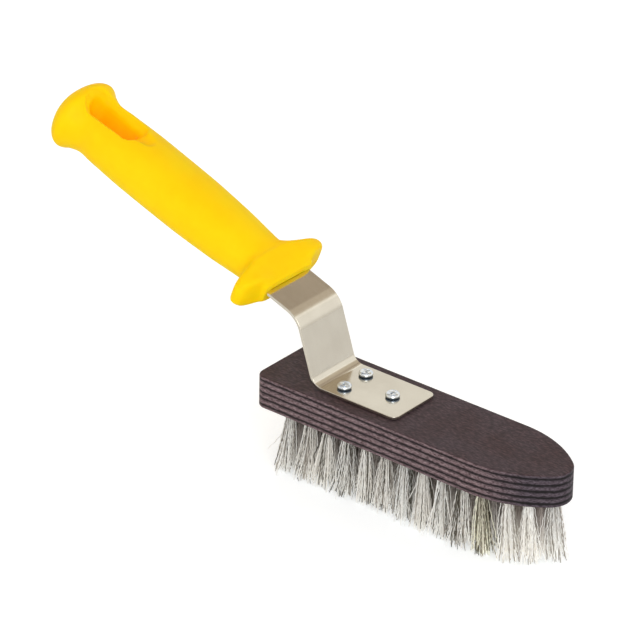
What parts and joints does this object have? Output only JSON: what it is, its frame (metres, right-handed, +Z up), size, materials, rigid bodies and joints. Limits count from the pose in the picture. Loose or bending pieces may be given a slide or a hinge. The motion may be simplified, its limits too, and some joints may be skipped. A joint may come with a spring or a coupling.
{
  "type": "grill brush",
  "caption": "Long-handled wire brush: a moulded handle with a guard and hanging slot, on a bent steel strap screwed to a pointed plywood block with rows of wire tufts.",
  "frame": {"origin": "end of the middle wire of the middle tuft, in the plane of the wire tips that the brush rests on", "axes": "+X along the block towards its pointed nose, +Y across, +Z up"},
  "size_m": [0.2727, 0.0556, 0.1368],
  "materials": {
    "yellow_plastic": "semi-gloss moulded polypropylene",
    "strap_steel": "plated flat steel, satin bright",
    "screw_zinc": "bright zinc plating",
    "dark_plywood": "dark stained plywood, satin",
    "tuft_wire": "bare crimped wire"
  },
  "bodies": {
    "root": {"handle": "yellow_plastic", "bent_strap": "strap_steel", "plate_screw_1": "screw_zinc", "plate_screw_2": "screw_zinc", "plate_screw_3": "screw_zinc", "brush_block": "dark_plywood", "tuft_row_01": "tuft_wire", "tuft_row_02": "tuft_wire", "tuft_row_03": "tuft_wire", "tuft_row_04": "tuft_wire", "tuft_row_05": "tuft_wire", "tuft_row_06": "tuft_wire", "tuft_row_07": "tuft_wire", "tuft_row_08": "tuft_wire", "tuft_row_09": "tuft_wire", "tuft_row_10": "tuft_wire", "tuft_row_11": "tuft_wire", "tuft_row_12": "tuft_wire", "tuft_row_13": "tuft_wire", "tuft_row_14": "tuft_wire"}
  },
  "joints": []
}
